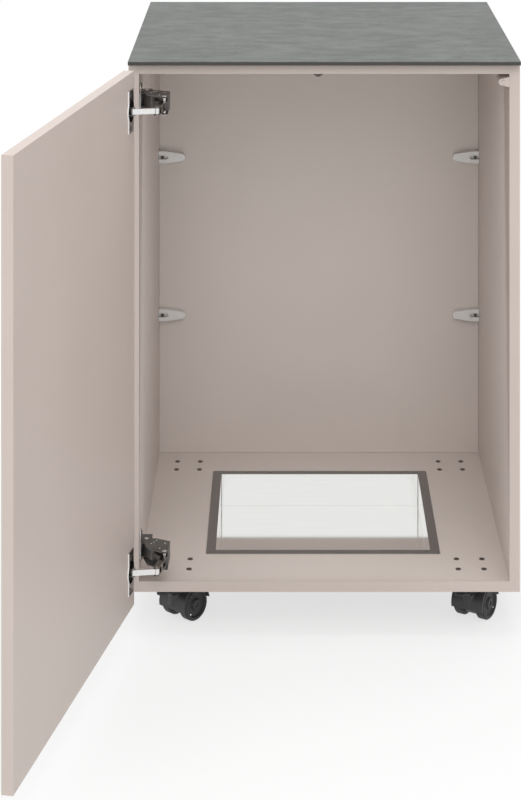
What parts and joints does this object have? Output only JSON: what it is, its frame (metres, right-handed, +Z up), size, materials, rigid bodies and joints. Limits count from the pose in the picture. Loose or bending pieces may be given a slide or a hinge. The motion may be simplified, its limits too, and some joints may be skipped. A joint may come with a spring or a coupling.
{
  "type": "gas bottle cabinet",
  "caption": "Outdoor-kitchen base cabinet for a gas bottle: open hinged door, stone-look top, steel well in the floor and swivel castors.",
  "frame": {"origin": "on the floor under the middle of the whole object's box, with the door open as stored", "axes": "+X to the right seen from the front, +Y to the back, +Z up"},
  "size_m": [0.7176, 1.219, 0.886],
  "materials": {
    "board": "matt taupe coated board",
    "slab": "matt stone-look compact slab",
    "bright_metal": "nickel plated",
    "dark_cast": "dark grey",
    "dark_screw": "dark plated",
    "tray_steel": "bright steel",
    "catch_plastic": "beige",
    "castor_metal": "zinc plated",
    "castor_plastic": "black",
    "castor_tread": "black"
  },
  "bodies": {
    "cabinet": {"left_side_panel": "board", "right_side_panel": "board", "bottom_panel": "board", "top_panel": "board", "back_panel": "board", "worktop_slab": "slab", "worktop_screws": "dark_screw", "corner_connectors": "bright_metal", "connector_screws": "dark_screw", "hinge_plates": "bright_metal", "hinge_plate_screws": "dark_screw", "hinge_arms": "dark_cast", "hinge_plate_pins": "bright_metal", "catch_housing": "catch_plastic", "castor_bolts": "dark_screw", "castor_nuts": "dark_screw", "castor_plate_front_left": "castor_metal", "castor_plate_front_right": "castor_metal", "castor_plate_rear_left": "castor_metal", "castor_plate_rear_right": "castor_metal"},
    "door": {"door_panel": "board", "hinge_cups": "bright_metal", "hinge_cup_screws": "dark_screw", "hinge_cup_pins": "bright_metal"},
    "hinge_rocker": {"hinge_rockers": "dark_cast", "hinge_rocker_pins": "bright_metal"},
    "hinge_crank": {"hinge_cranks": "bright_metal"},
    "hinge_bar": {"hinge_bars": "bright_metal"},
    "tray": {"bottle_tray": "tray_steel"},
    "latch_plunger": {"catch_plunger": "catch_plastic"},
    "castor_front_left": {"castor_fork_front_left": "castor_plastic", "castor_axle_front_left": "castor_plastic"},
    "wheel_front_left_inner": {"castor_wheel_front_left_inner": "castor_tread"},
    "wheel_front_left_outer": {"castor_wheel_front_left_outer": "castor_tread"},
    "brake_front_left": {"castor_brake_front_left": "castor_plastic"},
    "castor_front_right": {"castor_fork_front_right": "castor_plastic", "castor_axle_front_right": "castor_plastic"},
    "wheel_front_right_inner": {"castor_wheel_front_right_inner": "castor_tread"},
    "wheel_front_right_outer": {"castor_wheel_front_right_outer": "castor_tread"},
    "brake_front_right": {"castor_brake_front_right": "castor_plastic"},
    "castor_rear_left": {"castor_fork_rear_left": "castor_plastic", "castor_axle_rear_left": "castor_plastic"},
    "wheel_rear_left_inner": {"castor_wheel_rear_left_inner": "castor_tread"},
    "wheel_rear_left_outer": {"castor_wheel_rear_left_outer": "castor_tread"},
    "castor_rear_right": {"castor_fork_rear_right": "castor_plastic", "castor_axle_rear_right": "castor_plastic"},
    "wheel_rear_right_inner": {"castor_wheel_rear_right_inner": "castor_tread"},
    "wheel_rear_right_outer": {"castor_wheel_rear_right_outer": "castor_tread"}
  },
  "joints": [
    {"name": "door_swing", "type": "hinge", "parent": "cabinet", "child": "door", "pos_m": [-0.2546, -0.00332, 0.475], "axis": [0, 0, 1], "range_deg": [-9, 101]},
    {"name": "rocker_turn", "type": "hinge", "parent": "cabinet", "child": "hinge_rocker", "pos_m": [-0.2147, 0.0499, 0.475], "axis": [0, 0, 1], "range_deg": [-9, 97]},
    {"name": "crank_turn", "type": "hinge", "parent": "hinge_rocker", "child": "hinge_crank", "pos_m": [-0.18466, 0.00147, 0.475], "axis": [0, 0, 1], "range_deg": [-106.5, 10]},
    {"name": "bar_turn", "type": "hinge", "parent": "door", "child": "hinge_bar", "pos_m": [-0.22945, -0.0458, 0.475], "axis": [0, 0, 1], "range_deg": [-83.5, 8]},
    {"name": "tray_lift", "type": "slide", "parent": "cabinet", "child": "tray", "axis": [0, 0, 1], "range_m": [0, 0.12]},
    {"name": "latch_push", "type": "slide", "parent": "cabinet", "child": "latch_plunger", "axis": [0, 1, 0], "range_m": [0, 0.003], "stiffness_N_per_m": 300},
    {"name": "swivel_front_left", "type": "hinge", "parent": "cabinet", "child": "castor_front_left", "pos_m": [-0.1702, 0.09448, 0.055], "axis": [0, 0, 1], "continuous": true},
    {"name": "roll_front_left_inner", "type": "hinge", "parent": "castor_front_left", "child": "wheel_front_left_inner", "pos_m": [-0.15883, 0.10711, 0.025], "axis": [-0.7431, 0.6691, 0], "continuous": true},
    {"name": "roll_front_left_outer", "type": "hinge", "parent": "castor_front_left", "child": "wheel_front_left_outer", "pos_m": [-0.15883, 0.10711, 0.025], "axis": [-0.7431, 0.6691, 0], "continuous": true},
    {"name": "press_brake_front_left", "type": "hinge", "parent": "castor_front_left", "child": "brake_front_left", "pos_m": [-0.18292, 0.08036, 0.049], "axis": [-0.7431, 0.6691, 0], "range_deg": [-15, 0]},
    {"name": "swivel_front_right", "type": "hinge", "parent": "cabinet", "child": "castor_front_right", "pos_m": [0.2878, 0.09448, 0.055], "axis": [0, 0, 1], "continuous": true},
    {"name": "roll_front_right_inner", "type": "hinge", "parent": "castor_front_right", "child": "wheel_front_right_inner", "pos_m": [0.2968, 0.10889, 0.025], "axis": [-0.848, 0.5299, 0], "continuous": true},
    {"name": "roll_front_right_outer", "type": "hinge", "parent": "castor_front_right", "child": "wheel_front_right_outer", "pos_m": [0.2968, 0.10889, 0.025], "axis": [-0.848, 0.5299, 0], "continuous": true},
    {"name": "press_brake_front_right", "type": "hinge", "parent": "castor_front_right", "child": "brake_front_right", "pos_m": [0.27773, 0.07836, 0.049], "axis": [-0.848, 0.5299, 0], "range_deg": [-15, 0]},
    {"name": "swivel_rear_left", "type": "hinge", "parent": "cabinet", "child": "castor_rear_left", "pos_m": [-0.1702, 0.53148, 0.055], "axis": [0, 0, 1], "continuous": true},
    {"name": "roll_rear_left_inner", "type": "hinge", "parent": "castor_rear_left", "child": "wheel_rear_left_inner", "pos_m": [-0.15883, 0.54411, 0.025], "axis": [-0.7431, 0.6691, 0], "continuous": true},
    {"name": "roll_rear_left_outer", "type": "hinge", "parent": "castor_rear_left", "child": "wheel_rear_left_outer", "pos_m": [-0.15883, 0.54411, 0.025], "axis": [-0.7431, 0.6691, 0], "continuous": true},
    {"name": "swivel_rear_right", "type": "hinge", "parent": "cabinet", "child": "castor_rear_right", "pos_m": [0.2878, 0.53148, 0.055], "axis": [0, 0, 1], "continuous": true},
    {"name": "roll_rear_right_inner", "type": "hinge", "parent": "castor_rear_right", "child": "wheel_rear_right_inner", "pos_m": [0.29917, 0.54411, 0.025], "axis": [-0.7431, 0.6691, 0], "continuous": true},
    {"name": "roll_rear_right_outer", "type": "hinge", "parent": "castor_rear_right", "child": "wheel_rear_right_outer", "pos_m": [0.29917, 0.54411, 0.025], "axis": [-0.7431, 0.6691, 0], "continuous": true}
  ],
  "couplings": [
    {"joint": "rocker_turn", "follows": "door_swing", "ratio": 0.95465},
    {"joint": "crank_turn", "follows": "door_swing", "ratio": -1.0473},
    {"joint": "bar_turn", "follows": "door_swing", "ratio": -0.82218}
  ]
}
